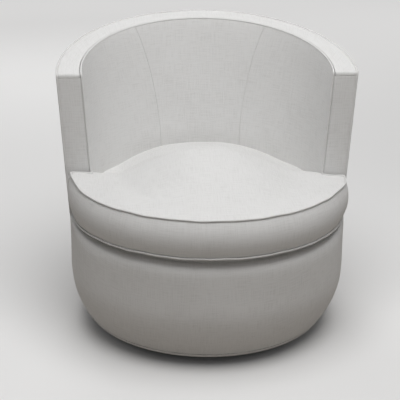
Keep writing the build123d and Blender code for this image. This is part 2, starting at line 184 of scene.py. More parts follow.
# Loose cushion: its crown, boxing, underside and piping
crown_rise = 0.0735
crown_centre = 0.040
crown_half_width = 0.234
crown_front_reach = 0.390
crown_back_reach = 0.304
crown_squareness = 2.67
crown_power = 1.5
cushion_bulge = 0.0145
tub_bulge = 0.0015
tub_lead, tub_blend = 0.01, 0.03
boxing_height = 0.096
boxing_rows = 18
underside_roll = 0.045
underside_blend = 0.15
top_cord_proud, top_cord_rise = 0.0011, 0.0004
bottom_cord_proud, bottom_cord_rise = 0.0026, -0.0006
cushion_cells = 96
polar_centre = np.array([0.0, -0.100])
cloth_settings = {
    "quality": 6,
    "mass": 0.3,
    "tension_stiffness": 40,
    "compression_stiffness": 40,
    "shear_stiffness": 20,
    "bending_stiffness": 4,
    "use_pressure": True,
    "uniform_pressure_force": 1.2,
    "pin_stiffness": 1.0,
}
cloth_frames = 16
cloth_cap = 0.006

# Zip in the back of the cushion: two tapes, and a coil of teeth between them
zip_front = 0.110
zip_half_width = 0.0058
zip_step = 0.0006
tape_edge = 0.0054
tape_proud = 0.0007
tape_depth = 0.0012
coil_half_width = 0.0014
coil_proud = 0.0009
tooth_depth = 0.4
steps_per_tooth = 4

# Photograph's camera: place in metres, angles in degrees, focal length in pixels of a square frame
camera_place = (-0.2338, -2.6862, 1.3509)
camera_pitch = 20.948
camera_yaw = -4.613
camera_roll = 0.638
focal_pixels = 1100
frame_pixels = 400
sensor_width = 36.0

# Light: brightness of the dome by the height of a direction, and the two lamps
dome_stops = ((0.0, 0.22), (0.25, 0.10), (0.45, 0.45), (0.65, 0.50), (0.80, 0.15))
dome_strength = 0.88
backdrop_colour = (0.60, 0.60, 0.59)
lamp_place = (0.12, -0.85, 3.2)
lamp_size = 2.6
lamp_energy = 79
fill_place = (-0.6, 2.6, 2.0)
fill_size = 2.0
fill_energy = 18
lamp_target = (0, 0, 0.4)

# Floor: its colour as seen, as it lights the chair, and where it glows
floor_half_width = 12.0
floor_colour = (0.80, 0.795, 0.79)
floor_bounce = (0.385, 0.352, 0.315)
floor_glow = 0.50
glow_start = 0.9
glow_full = 4.5

# Cloth: colours, linear, and the scales of its slubs and mottling
linen_light = (0.71, 0.706, 0.698)
linen_dark = (0.61, 0.604, 0.592)
deck_light, deck_dark = (0.62, 0.605, 0.58), (0.46, 0.445, 0.42)
strap_light, strap_dark = (0.045, 0.040, 0.036), (0.015, 0.013, 0.012)
weft_slub_scale = (28, 430, 1)
warp_slub_scale = (500, 24, 1)
mottle_scale = 9.0
weave_share = 0.10
mottle_share = 0.30
shade_reach = 0.35


# Mesh tools


def smooth_step(t):
    t = np.clip(t, 0.0, 1.0)
    return t * t * (3 - 2 * t)


def unit(vectors):
    return vectors / np.linalg.norm(vectors, axis=-1, keepdims=True)


def lifted(plan, level):
    """Points of a plan at a height, or each at its own."""
    return np.concatenate([plan, np.broadcast_to(level, plan.shape[:-1])[..., None]], -1)


def full_turn(count):
    """Even angles once round."""
    return np.linspace(0, 2 * pi, count, endpoint=False)


def edged_steps(count, edge_share):
    """Steps from 0 to 1 that crowd together at both ends to carry a rolled edge."""
    lead = edge_share * (1 - np.cos(np.linspace(0, pi / 2, roll_steps)))
    middle = np.linspace(edge_share, 1 - edge_share, count)[1:-1]
    return np.concatenate([lead, middle, (1 - lead)[::-1]])


def number_grid(points):
    """Numbers of a grid's points, in the grid's shape."""
    rows, columns = points.shape[:2]
    return np.arange(rows * columns).reshape(rows, columns)


def grid_quads(index):
    corners = (index[:-1, :-1], index[:-1, 1:], index[1:, 1:], index[1:, :-1])
    return np.stack(corners, -1).reshape(-1, 4).tolist()


def border(index):
    return np.concatenate([index[0, :-1], index[:-1, -1], index[-1, :0:-1], index[:0:-1, 0]])


def ring_quads(one, other):
    """Quads between two closed rows of points."""
    ahead, other_ahead = np.roll(one, -1), np.roll(other, -1)
    return np.stack([one, ahead, other_ahead, other], -1).tolist()


def ring_rows(index, closed):
    """Quads between a grid's closed rows, and from its last row to its first if it is closed too."""
    faces = []
    for one, other in zip(index, index[1:]):
        faces += ring_quads(one, other)
    if closed:
        faces += ring_quads(index[-1], index[0])
    return faces


def two_sided(front, back):
    """Points and faces of a closed sheet, from matching grids of its front and back."""
    index = number_grid(front)
    faces = grid_quads(index) + grid_quads(index[:, ::-1] + index.size)
    faces += ring_quads(border(index), border(index) + index.size)
    return np.concatenate([front.reshape(-1, 3), back.reshape(-1, 3)]), faces


def around_axis(radius, angle, level):
    """Points about the swivel axis. The radii, angles and levels broadcast together."""
    return np.stack(np.broadcast_arrays(radius * np.cos(angle), radius * np.sin(angle), level), -1)


def far_out(points, rise=0.0):
    """Points well outside the chair, which its outer covers face."""
    return points * (3, 3, 1) + (0, 0, rise)


def add_object(name, data):
    thing = bpy.data.objects.new(name, data)
    bpy.context.scene.collection.objects.link(thing)
    return thing


def make_piece(name, points, faces, loop_uv=None, point_uv=None):
    mesh = bpy.data.meshes.new(name)
    mesh.from_pydata(points.tolist(), [], faces)
    if point_uv is not None:
        corners = np.zeros(len(mesh.loops), int)
        mesh.loops.foreach_get("vertex_index", corners)
        loop_uv = point_uv[corners]
    layer = mesh.uv_layers.new(name="weave")
    layer.data.foreach_set("uv", loop_uv.astype(np.float32).ravel())
    shell = bmesh.new()
    shell.from_mesh(mesh)
    bmesh.ops.recalc_face_normals(shell, faces=shell.faces)
    shell.to_mesh(mesh)
    shell.free()
    mesh.polygons.foreach_set("use_smooth", [True] * len(mesh.polygons))
    return add_object(name, mesh)


def dress(piece, material, body, slot, *stood_for):
    piece.data.materials.append(material)
    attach(piece, body)
    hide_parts(*stood_for)


def lengths_along(path):
    """Distance of each point of a path from its start."""
    return np.concatenate([[0], np.cumsum(np.linalg.norm(np.diff(path, axis=0), axis=1))])


def points_at(path, length, places):
    """Points of a path at some places, where length gives the place of each of its own points."""
    return np.stack([np.interp(places, length, path[:, k]) for k in range(path.shape[1])], -1)


def evenly(path, step):
    """Points along an open path at even steps."""
    length = lengths_along(path)
    return points_at(path, length, np.linspace(0, length[-1], max(int(length[-1] / step), 2)))


def rounded(path, radius, closed):
    """A path with its corners softened over about a radius. Open ends stay where they are."""
    step = np.median(np.linalg.norm(np.diff(path, axis=0), axis=1))
    reach = max(int(3 * radius / step), 1)
    weight = np.exp(-0.5 * (np.arange(-reach, reach + 1) * step / radius) ** 2)
    weight /= weight.sum()
    if closed:
        wide = np.concatenate([path[-reach:], path, path[:reach]])
    else:
        lead = 2 * path[0] - path[reach:0:-1]
        tail = 2 * path[-1] - path[-2 : -reach - 2 : -1]
        wide = np.concatenate([lead, path, tail])
    return np.stack([np.convolve(wide[:, k], weight, "valid") for k in range(path.shape[1])], -1)


def run_lengths(points, axis):
    """Distance of each point of a grid from the start of its row or column."""
    steps = np.linalg.norm(np.diff(points, axis=axis), axis=2)
    start = np.zeros_like(np.take(steps, [0], axis=axis))
    return np.concatenate([start, np.cumsum(steps, axis=axis)], axis=axis)


def grid_normals(points, facing):
    normal = unit(np.cross(np.gradient(points, axis=1), np.gradient(points, axis=0)))
    toward = np.sum(normal * (facing - points), axis=2, keepdims=True)
    return normal * np.sign(toward)


def unevenness(points):
    """Slight hand-made waviness of stretched cloth, in metres."""
    x, y, z = points[..., 0], points[..., 1], points[..., 2]
    wave = np.sin(23 * x + 11 * z + 1.3) * np.sin(19 * z - 7 * y + 0.4)
    ripple = np.sin(61 * x - 37 * y + 2.1) * np.sin(53 * z + 29 * x)
    return wave_height * wave + ripple_height * ripple


def rolled(away, roll):
    """How far a rolled edge drops at a distance from it."""
    inner = np.maximum(roll - away, 0)
    return roll - np.sqrt(np.maximum(roll**2 - inner**2, 0))


def padded_panel(name, front, facing, depth, edges, puff, puff_reach=0.03, flat=()):
    """Closed padded panel: a grid of front points with rolled edges, and a back mitred at its borders.
    edges gives the roll of the (first row, last row, first column, last column), and flat lists those of
    them by number that the padding doesn't swell from."""
    u = run_lengths(front, 1)
    v = run_lengths(front, 0)
    sides = (v, v[-1:] - v, u, u[:, -1:] - u)
    normal = grid_normals(front, np.array(facing))
    drop = np.zeros(u.shape)
    for away, roll in zip(sides, edges):
        drop = np.maximum(drop, rolled(away, roll))
    near = np.minimum.reduce(sides)
    padded = np.minimum.reduce([side for number, side in enumerate(sides) if number not in flat])
    swell = puff * (1 - np.exp(-padded / puff_reach)) + unevenness(front)
    face = front + normal * (swell - drop)[..., None]
    back = front - normal * np.minimum(depth, edge_depth_rolls * max(edges) + near)[..., None]
    points, faces = two_sided(face, back)
    uv = np.stack([u - u[:, -1:] / 2, v], -1).reshape(-1, 2)
    return make_piece(name, points, faces, point_uv=np.concatenate([uv, uv]))


def tube(name, path, up, closed):
    """Piping along a path, with up a direction across it."""
    tangent = unit(np.roll(path, -1, 0) - np.roll(path, 1, 0) if closed else np.gradient(path, axis=0))
    side = unit(np.cross(tangent, up))
    over = np.cross(side, tangent)
    length = lengths_along(path)
    uneven = np.ones(len(path))
    for share, reach, phase in piping_waves:
        uneven = uneven + share * np.sin(length / reach + phase)
    turn = full_turn(piping_sides)
    circle = np.cos(turn)[None, :, None] * side[:, None] + np.sin(turn)[None, :, None] * over[:, None]
    points = path[:, None] + circle * (piping_radius * uneven)[:, None, None]
    index = number_grid(points)
    faces = ring_rows(index, closed)
    if not closed:
        faces += [index[0].tolist(), index[-1][::-1].tolist()]
    round_at = np.arange(piping_sides + 1) * 2 * pi * piping_radius / piping_sides
    along = np.append(length, length[-1] + np.linalg.norm(path[0] - path[-1])) if closed else length
    sheet = np.stack(np.meshgrid(along, round_at, indexing="ij"), -1)
    corners = np.stack([sheet[:-1, :-1], sheet[:-1, 1:], sheet[1:, 1:], sheet[1:, :-1]], 2).reshape(-1, 2)
    ends = np.zeros((0 if closed else 2 * piping_sides, 2))
    return make_piece(name, points.reshape(-1, 3), faces, loop_uv=np.concatenate([corners, ends]))


# Forms of the tub and drum


def tub_point(theta, share, foot, rim):
    """Point of a flared wall: share 0 at the seat ring, 1 at the rim."""
    cosine, sine = np.cos(theta), np.sin(theta)
    share = np.broadcast_to(share, cosine.shape)
    low = np.stack([foot[0] * cosine, foot[1] + foot[0] * sine, np.full(cosine.shape, seat_ring_top)], -1)
    along = rim[1] + rim[0] * sine
    high_z = rim_height + along * sin(rim_angle)
    high = np.stack([rim[0] * cosine, along * cos(rim_angle), high_z], -1)
    return low + share[..., None] * (high - low)


def arm_line(z):
    """Y of the arm fronts at a height."""
    return arm_front + arm_rake * (z - seat_ring_top)


def arm_angle(share, foot, rim, back):
    """Angle where a wall meets the right arm's front, moved back by a distance."""
    theta = np.zeros(np.shape(share))
    reach = (1 - share) * foot[0] + share * rim[0] * cos(rim_angle)
    centre = (1 - share) * foot[1] + share * rim[1] * cos(rim_angle)
    for _ in range(arm_solve_steps):
        z = tub_point(theta, share, foot, rim)[..., 2]
        theta = np.arcsin((arm_line(z) + back - centre) / reach)
    return theta


def arm_edge(foot, rim, shares):
    """Points of a wall's edge at the right arm's front."""
    return tub_point(arm_angle(shares, foot, rim, 0.0), shares, foot, rim)


def seam_angle(share):
    """Angle of the inside back's right-hand seam at a share of its height."""
    width = seam_half_width_foot + (seam_half_width_rim - seam_half_width_foot) * share**seam_sweep
    return np.arccos(width / ((1 - share) * cavity_foot[0] + share * cavity_rim[0]))


def wall_shares(room, count):
    """Shares of the wall's height from under the deck up to a gap under the rim."""
    low = (deck_top - tuck - seat_ring_top) / wall_height
    return low + edged_steps(count, edge_roll / wall_height) * (1 - room / wall_height - low)


def drum_profile(z):
    """Radius of the drum at a height."""
    reach = drum_radius - drum_bottom_radius
    rise = drum_widest - drum_bottom
    arc = (reach**2 + rise**2) / (2 * reach)
    below = np.maximum(drum_widest - z, 0)
    return drum_radius - arc + np.sqrt(arc**2 - below**2)


# Materials


def add(tree, kind, **settings):
    node = tree.nodes.new(kind)
    for key, value in settings.items():
        setattr(node, key, value)
    return node


def fill(node, values):
    """Sets inputs of a node, each to a value or linked to an output of another node."""
    for socket, value in values.items():
        if isinstance(value, bpy.types.NodeSocket):
            node.id_data.links.new(value, node.inputs[socket])
        else:
            node.inputs[socket].default_value = value


def new_material(name):
    """A material with its shader and the object's coordinates."""
    material = bpy.data.materials.new(name)
    material.use_nodes = True
    place = add(material.node_tree, "ShaderNodeTexCoord").outputs["Object"]
    return material, material.node_tree.nodes["Principled BSDF"], place


def scaled(source, scale):
    mapping = add(source.id_data, "ShaderNodeMapping")
    fill(mapping, {"Vector": source, "Scale": scale})
    return mapping.outputs["Vector"]


def components(vector):
    node = add(vector.id_data, "ShaderNodeSeparateXYZ")
    fill(node, {"Vector": vector})
    return node.outputs


def noise(vector, scale=1.0, detail=2.0, roughness=0.5):
    node = add(vector.id_data, "ShaderNodeTexNoise")
    fill(node, {"Vector": vector, "Scale": scale, "Detail": detail, "Roughness": roughness})
    return node.outputs["Fac"]


def math_node(operation, *values):
    node = add(values[0].id_data, "ShaderNodeMath", operation=operation)
    fill(node, dict(enumerate(values)))
    return node.outputs["Value"]


def ramp(factor, *stops):
    """Colour ramp with (place, colour) stops."""
    node = add(factor.id_data, "ShaderNodeValToRGB")
    while len(node.color_ramp.elements) < len(stops):
        node.color_ramp.elements.new(0.5)
    for element, (place, colour) in zip(node.color_ramp.elements, stops):
        element.position = place
        element.color = (*colour, 1)
    fill(node, {"Fac": factor})
    return node.outputs["Color"]


def bump(height, shader, strength, distance):
    node = add(height.id_data, "ShaderNodeBump")
    fill(node, {"Height": height, "Strength": strength, "Distance": distance})
    fill(shader, {"Normal": node.outputs["Normal"]})


def woven(name, light, dark, thread, slub, relief):
    """Plain-weave cloth on the weave UVs, which are in metres: thread is the pitch of its yarns."""
    material, shader, place = new_material(name)
    uv = add(material.node_tree, "ShaderNodeUVMap", uv_map="weave").outputs["UV"]
    x, y, _ = components(uv)
    warp = math_node("SINE", math_node("MULTIPLY", x, pi / thread))
    weft = math_node("SINE", math_node("MULTIPLY", y, pi / thread))
    weave = math_node("MULTIPLY", warp, weft)
    weft_slub = noise(scaled(uv, weft_slub_scale), detail=3.0)
    warp_slub = noise(scaled(uv, warp_slub_scale), detail=3.0)
    mottle = noise(place, mottle_scale, detail=3.0)
    yarns = math_node("ADD", weft_slub, warp_slub)
    shade = math_node("MULTIPLY_ADD", weave, weave_share, math_node("MULTIPLY", yarns, slub))
    shade = math_node("MULTIPLY_ADD", mottle, mottle_share, shade)
    middle = slub + mottle_share / 2
    colour = ramp(shade, (middle - shade_reach, dark), (middle + shade_reach, light))
    height = math_node("MULTIPLY_ADD", yarns, 1.2, weave)
    bump(height, shader, strength=0.5, distance=relief)
    fill(shader, {"Base Color": colour, "Roughness": 0.92, "Specular IOR Level": 0.15})
    fill(shader, {"Sheen Weight": 0.15, "Sheen Roughness": 0.6})
    return material


def fleece(name, light, dark):
    """Matted fibre such as a non-woven cloth or hardboard."""
    material, shader, place = new_material(name)
    fibre = noise(place, scale=900.0, detail=4.0, roughness=0.7)
    patch = noise(place, scale=30.0)
    shade = math_node("MULTIPLY_ADD", patch, 0.5, fibre)
    colour = ramp(shade, (0.45, dark), (1.05, light))
    bump(fibre, shader, strength=0.3, distance=0.0003)
    fill(shader, {"Base Color": colour, "Roughness": 0.95})
    return material


def wood(name, light, dark, plies, roughness):
    """Grain along X, with darker plies through the thickness where plies, their pitch, isn't 0."""
    material, shader, place = new_material(name)
    grain = noise(scaled(place, (9, 160, 160)), detail=5.0, roughness=0.6)
    figure = noise(scaled(place, (3, 22, 22)), detail=3.0)
    shade = math_node("MULTIPLY_ADD", figure, 0.6, math_node("MULTIPLY", grain, 0.5))
    if plies:
        turns = math_node("MULTIPLY", components(place)["Z"], 2 * pi / plies)
        shade = math_node("MULTIPLY_ADD", math_node("SINE", turns), 0.10, shade)
    colour = ramp(shade, (0.25, dark), (0.85, light))
    bump(grain, shader, strength=0.2, distance=0.0004)
    fill(shader, {"Base Color": colour, "Roughness": roughness})
    return material


def metal(name, colour, dull, roughness, scratch):
    """Steel with brushing and a patchy plated surface."""
    material, shader, place = new_material(name)
    lines = noise(scaled(place, (40, 900, 900)), detail=3.0)
    patch = noise(place, scale=45.0, detail=3.0)
    shade = math_node("MULTIPLY_ADD", lines, scratch, patch)
    plated = ramp(shade, (0.35, dull), (0.75 + scratch, colour))
    rough = math_node("MULTIPLY_ADD", patch, 0.2, roughness - 0.1)
    bump(lines, shader, strength=0.1, distance=0.0002)
    fill(shader, {"Base Color": plated, "Roughness": rough, "Metallic": 1.0})
    return material


def plastic(name, light, dark, roughness):
    material, shader, place = new_material(name)
    grain = noise(place, scale=700.0)
    patch = noise(place, scale=25.0)
    shade = math_node("MULTIPLY_ADD", grain, 0.3, patch)
    colour = ramp(shade, (0.4, dark), (0.95, light))
    bump(grain, shader, strength=0.15, distance=0.0002)
    fill(shader, {"Base Color": colour, "Roughness": roughness})
    return material


linen = woven("linen", linen_light, linen_dark, thread=0.0013, slub=0.8, relief=0.0004)
piping_linen = woven("piping_linen", linen_light, linen_dark, thread=0.0011, slub=0.6, relief=0.0003)
deck_linen = woven("deck_linen", deck_light, deck_dark, thread=0.0016, slub=0.6, relief=0.0004)
strap_cloth = woven("strap_cloth", strap_light, strap_dark, thread=0.0030, slub=0.6, relief=0.0006)
dust_felt = fleece("dust_felt", (0.035, 0.035, 0.035), (0.012, 0.012, 0.012))
hardboard = fleece("hardboard", (0.36, 0.25, 0.16), (0.20, 0.13, 0.08))
plywood = wood("plywood", (0.62, 0.47, 0.30), (0.40, 0.27, 0.15), plies=0.003, roughness=0.7)
hardwood = wood("hardwood", (0.50, 0.33, 0.19), (0.30, 0.18, 0.09), plies=0, roughness=0.65)
black_wood = wood("black_wood", (0.022, 0.021, 0.020), (0.010, 0.010, 0.010), plies=0, roughness=0.45)
plate_steel = metal("plate_steel", (0.56, 0.56, 0.55), (0.40, 0.40, 0.39), roughness=0.40, scratch=0.4)
ball_steel = metal("ball_steel", (0.72, 0.72, 0.73), (0.62, 0.62, 0.63), roughness=0.20, scratch=0.1)
screw_steel = metal("screw_steel", (0.62, 0.58, 0.47), (0.44, 0.41, 0.34), roughness=0.38, scratch=0.3)
glide_nylon = plastic("glide_nylon", (0.72, 0.70, 0.66), (0.60, 0.58, 0.54), roughness=0.45)
zip_tape = plastic("zip_tape", (0.62, 0.605, 0.58), (0.50, 0.485, 0.46), roughness=0.7)


# Tub upholstery


def back_swell(theta, share):
    """How far the inside back's filling swells: most low on the back and in its middle."""
    rise = smooth_step((share - swell_start) / swell_rise)
    fall = 1 - np.clip((share - swell_start) / (1 - swell_start), 0, 1) ** swell_lean
    return swell_depth * rise * fall * np.clip(np.sin(theta), 0, 1) ** 2


def inside_panel(name, shares, start, end, edges, flat, *stood_for):
    """One padded panel of the inside back, between two angles that vary with its shares of height."""
    across = edged_steps(70, seam_roll / inside_panel_width)
    theta = start[:, None] + across[None, :] * (end - start)[:, None]
    swell = back_swell(theta, shares[:, None])
    wall = tub_point(theta, shares[:, None], cavity_foot, cavity_rim)
    front = wall - swell[..., None] * around_axis(1.0, theta, 0.0)
    piece = padded_panel(name, front, seat_middle, back_padding, edges, inside_puff, inside_puff_reach, flat)
    dress(piece, linen, "chair", "linen", *stood_for)


def make_inside_back():
    shares = wall_shares(under_cord, count=56)
    arm = arm_angle(shares, cavity_foot, cavity_rim, inside_groove)
    seam = seam_angle(shares)
    left_arm, left_seam = pi - arm, pi - seam
    to_arm = (edge_roll, fine_roll, edge_roll, seam_roll)
    between = (edge_roll, fine_roll, seam_roll, seam_roll)
    from_arm = (edge_roll, fine_roll, seam_roll, edge_roll)
    inside_panel("inside_back_right", shares, arm, seam, to_arm, (0, 3), "inside_back_panel_right")
    centre = ("inside_back_panel_centre", "inside_back_foam")
    inside_panel("inside_back_centre", shares, seam, left_seam, between, (0, 2, 3), *centre)
    inside_panel("inside_back_left", shares, left_seam, left_arm, from_arm, (0, 2), "inside_back_panel_left")


def band_line(foot, ring):
    """One line along the top band: up on the right arm's front, round the rim and down on the left."""
    end = arm_angle(np.ones(1), foot, ring, 0.0)[0]
    around = tub_point(np.linspace(end, pi - end, 260), 1.0, foot, ring)
    down = np.array([0.0, -arm_rake, -1.0]) * np.linspace(band_wrap, 0.0, 8)[:-1, None]
    right = around[0] + down
    left = around[-1] + down[::-1]
    path = evenly(np.concatenate([right, around, left]), band_fold / 2)
    line = rounded(path, band_fold, False)
    fold = np.linspace(0, band_end_share, band_end_columns)[:-1]
    middle = np.linspace(band_end_share, 1 - band_end_share, band_columns)
    places = np.concatenate([fold, middle, 1 - fold[::-1]])
    return points_at(line, np.linspace(0, 1, len(line)), places)


def make_top_band():
    inner = band_line(cavity_foot, (cavity_rim[0] + band_groove, cavity_rim[1]))
    outer = band_line(outer_foot, (outer_rim[0] - piping_room, outer_rim[1]))
    across = edged_steps(14, edge_roll / arm_width)[:, None, None]
    front = inner[None] + across * (outer - inner)[None]
    edges = (edge_roll, edge_roll, fine_roll, fine_roll)
    above = (0, -3, 3)
    piece = padded_panel("rim_band", front, above, skin_padding, edges, band_puff, edge_puff_reach, (2, 3))
    dress(piece, linen, "chair", "linen", "top_band", "top_wadding")


def make_outside_back():
    top = 1 - piping_room / wall_height
    shares = top - edged_steps(40, edge_roll / wall_height) * top
    room = piping_room * smooth_step(shares * wall_height / (deck_top - seat_ring_top))
    theta_end = arm_angle(shares, outer_foot, outer_rim, room)
    along = edged_steps(170, edge_roll / outside_length)
    theta = theta_end[:, None] + along[None, :] * (pi - 2 * theta_end)[:, None]
    upper = tub_point(theta, shares[:, None], outer_foot, outer_rim)
    levels = seat_ring_top - (seat_ring_top - drum_bottom - hem_height) * edged_steps(34, 0.02)[1:]
    lower = around_axis(drum_profile(levels)[:, None], theta[-1], levels[:, None])
    front = np.concatenate([upper, lower])
    edges = (edge_roll, seam_roll, edge_roll, edge_roll)
    piece = padded_panel("outside_back", front, far_out(front), skin_padding, edges, skin_puff)
    dress(piece, linen, "chair", "linen", "outside_back_cover", "outside_back_wadding")


def make_arm_front(side, word):
    shares = wall_shares(band_wrap, count=44)
    inner = arm_edge(cavity_foot, cavity_rim, shares)
    outer = arm_edge(outer_foot, outer_rim, shares)
    width = outer[:, 0] - inner[:, 0]
    across = edged_steps(16, edge_roll / arm_width)
    share = (arm_groove + across[None, :] * (width - arm_groove - piping_room)[:, None]) / width[:, None]
    front = inner[:, None] + share[..., None] * (outer - inner)[:, None]
    front[..., 0] *= side
    edges = (edge_roll, fine_roll, seam_roll, seam_roll)
    ahead = (0, -3, 0.5)
    name = f"arm_front_{word}"
    piece = padded_panel(name, front, ahead, arm_padding, edges, arm_puff, edge_puff_reach, (1,))
    dress(piece, linen, "chair", "linen", f"arm_front_panel_{word}", f"arm_wadding_{word}")


def edge_cord(foot, rim, sink):
    """Path of piping up one arm's front edge, round the rim and down the other arm."""
    shares = np.linspace((deck_top - seat_ring_top) / wall_height, 1, 80)
    right = arm_edge(foot, rim, shares)
    end = arm_angle(np.ones(1), foot, rim, 0.0)[0]
    around = tub_point(np.linspace(end, pi - end, 400)[1:-1], 1.0, foot, rim)
    left = right[::-1] * (-1, 1, 1)
    path = np.concatenate([right, around, left])
    path = path + sink * unit(path * (1, 1, 0))
    on_rim = np.zeros(len(path))
    on_rim[len(right) : -len(left)] = 1
    path = path - piping_inset * on_rim[:, None] * rim_normal
    path[:, 1] += piping_inset * (1 - on_rim)
    return rounded(evenly(path, piping_step), piping_corner, False)


def make_rim_piping():
    inside = ("inner_rim_piping", "arm_piping_left", "arm_piping_right")
    outside = ("outer_rim_piping", "arm_outer_piping_left", "arm_outer_piping_right")
    inner = edge_cord(cavity_foot, cavity_rim, piping_inset)
    outer = edge_cord(outer_foot, outer_rim, -piping_inset)
    for name, path, stood_for in (("inner_piping", inner, inside), ("outer_piping", outer, outside)):
        piece = tube(name, path, rim_piping_up, False)
        dress(piece, piping_linen, "chair", "linen_piping", *stood_for)


# Base upholstery


def base_front_points():
    """Front of the base: out from the deck, over the lip and down to the hem."""
    start = asin(arm_front / drum_radius)
    along = start - edged_steps(150, seam_roll / base_length) * (pi + 2 * start)
    offset = cavity_foot[1] * np.sin(along)
    deck_edge = offset + np.sqrt(cavity_foot[0] ** 2 - cavity_foot[1] ** 2 + offset**2)
    from_arm = np.minimum(start - along, along - (-pi - start)) * drum_radius
    to_front = smooth_step(from_arm / lip_fade)
    bow = front_bow * to_front
    fall = front_fall * to_front
    edge = drum_radius + bow
    lip = lip_at_arms + (lip_width - lip_at_arms) * to_front + bow
    lip = np.minimum(lip, edge - deck_edge - lip_clearance)
    lip_drop = lip_at_arms + (lip_height - lip_at_arms) * to_front
    share = edged_steps(8, 0.05)[:, None]
    flat = deck_edge + share * (edge - lip - deck_edge)
    flat_level = deck_top - fall * smooth_step(share)
    turn = np.linspace(0, pi / 2, 14)[1:, None]
    arc = edge - lip * (1 - np.sin(turn) ** (2 / lip_power))
    arc_level = deck_top - lip_drop + (lip_drop - fall) * np.maximum(np.cos(turn), 0) ** (2 / lip_power)
    low = drum_bottom + hem_height
    wall_level = arc_level[-1] - edged_steps(44, 0.015)[1:, None] * (arc_level[-1] - low)
    wall = drum_profile(wall_level) + bow * smooth_step((wall_level - low) / bow_height)
    radius = np.concatenate([flat, arc, wall])
    return around_axis(radius, along, np.concatenate([flat_level, arc_level, wall_level]))


def make_base_front():
    front = base_front_points()
    edges = (seam_roll, seam_roll, seam_roll, seam_roll)
    piece = padded_panel("base_front", front, far_out(front, 0.4), skin_padding, edges, skin_puff)
    stood_for = ("base_front_cover", "front_edge_roll", "base_wadding")
    dress(piece, linen, "chair", "linen", *stood_for)


def make_hem():
    """Turned-up hem round the drum's foot, as a closed band."""
    turn = full_turn(hem_columns)[:, None]
    half = hem_height / 2
    section = []
    for quarter, (side, end) in enumerate(((1, 1), (-1, 1), (-1, -1), (1, -1))):
        for step in np.linspace(0, pi / 2, 4):
            angle = quarter * pi / 2 + step
            out = side * (hem_cloth / 2 - hem_corner) + hem_corner * cos(angle)
            up = end * (half - hem_corner) + hem_corner * sin(angle)
            section.append((out, up))
    section = np.array(section)
    z = drum_bottom + half + section[:, 1]
    radius = drum_profile(z) + hem_proud - hem_cloth / 2 + section[:, 0]
    points = around_axis(radius, turn, z)
    index = number_grid(points)
    uv = np.stack([np.broadcast_to(turn * drum_bottom_radius, index.shape), points[..., 2]], -1)
    piece = make_piece("hem", points.reshape(-1, 3), ring_rows(index, True), point_uv=uv.reshape(-1, 2))
    dress(piece, linen, "chair", "linen", "base_hem")


def concentric(outline, centre, cells):
    """Grid of (cells + 1) squared points whose border follows an outline of 4 * cells points.
    The outline's first point is the middle of the grid's first row."""
    half = cells // 2
    j, i = np.mgrid[-half : half + 1, -half : half + 1]
    ring = np.maximum(np.abs(i), np.abs(j))
    on_side = [(j == -ring) & (i >= 0), i == ring, j == ring, i == -ring]
    place = np.select(on_side, [i, 2 * ring + j, 4 * ring - i, 6 * ring - j], 8 * ring + i)
    number = np.round(place * half / np.maximum(ring, 1)).astype(int)
    spot = outline[number % len(outline)]
    return centre + (ring / half)[..., None] * (spot - centre)


def make_deck():
    turn = full_turn(4 * deck_cells) - pi / 2
    radius = cavity_foot[0] - deck_gap
    centre = np.array([0.0, cavity_foot[1]])
    circle = centre + radius * np.stack([np.cos(turn), np.sin(turn)], -1)
    flat = concentric(circle, centre, deck_cells)
    away = radius - np.linalg.norm(flat - centre, axis=2)
    level = deck_top - rolled(away, deck_roll)
    points, faces = two_sided(lifted(flat, level), lifted(flat, deck_top - deck_pad_depth))
    piece = make_piece("deck", points, faces, point_uv=points[:, :2])
    dress(piece, deck_linen, "chair", "deck_cloth", "deck_cover", "deck_pad")


def make_dust_cover():
    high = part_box("dust_cover")[1]
    inner, outer = dust_opening, high.x - dust_setback
    radius = np.linspace(inner, outer, 14)
    sag = dust_sag * np.sin(pi * (radius - inner) / (outer - inner))
    points = around_axis(radius[:, None], full_turn(dust_columns), (high.z - dust_gap - sag)[:, None])
    faces = ring_rows(number_grid(points), False)
    flat = points.reshape(-1, 3)
    piece = make_piece("dust_sheet", flat, faces, point_uv=flat[:, :2])
    dress(piece, dust_felt, "chair", "dust_cloth", "dust_cover")


def make_straps(node):
    """Seat webbing: each strap of a CAD node as a flat woven band with rounded selvedges."""
    low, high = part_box(node)
    across = edged_steps(10, selvedge_share) - 0.5
    flat = np.minimum(1, (0.5 - np.abs(across)) / selvedge_share)
    half = (high.z - low.z) / 2 * np.sqrt(np.maximum(1 - (1 - flat) ** 2, selvedge_thinness))
    points, faces = np.zeros((0, 3)), []
    for number in range(strap_count):
        offset = (number - (strap_count - 1) / 2) * strap_pitch
        reach = sqrt(strap_opening**2 - offset**2) + strap_overlap
        along = np.linspace(-reach, reach, 60)
        grid = np.zeros((2, len(along), len(across), 3))
        grid[..., 0] = offset + across * strap_width
        grid[..., 1] = along[:, None]
        grid[0, ..., 2] = (low.z + high.z) / 2 + half
        grid[1, ..., 2] = (low.z + high.z) / 2 - half
        if not node.endswith("lengthwise"):
            grid = grid[..., [1, 0, 2]]
        grid[..., 1] += cavity_foot[1]
        strap, strap_faces = two_sided(grid[0], grid[1])
        faces += (np.array(strap_faces) + len(points)).tolist()
        points = np.concatenate([points, strap])
    piece = make_piece(node.replace("seat_", ""), points, faces, point_uv=points[:, :2])
    dress(piece, strap_cloth, "chair", "webbing", node)


# Loose cushion


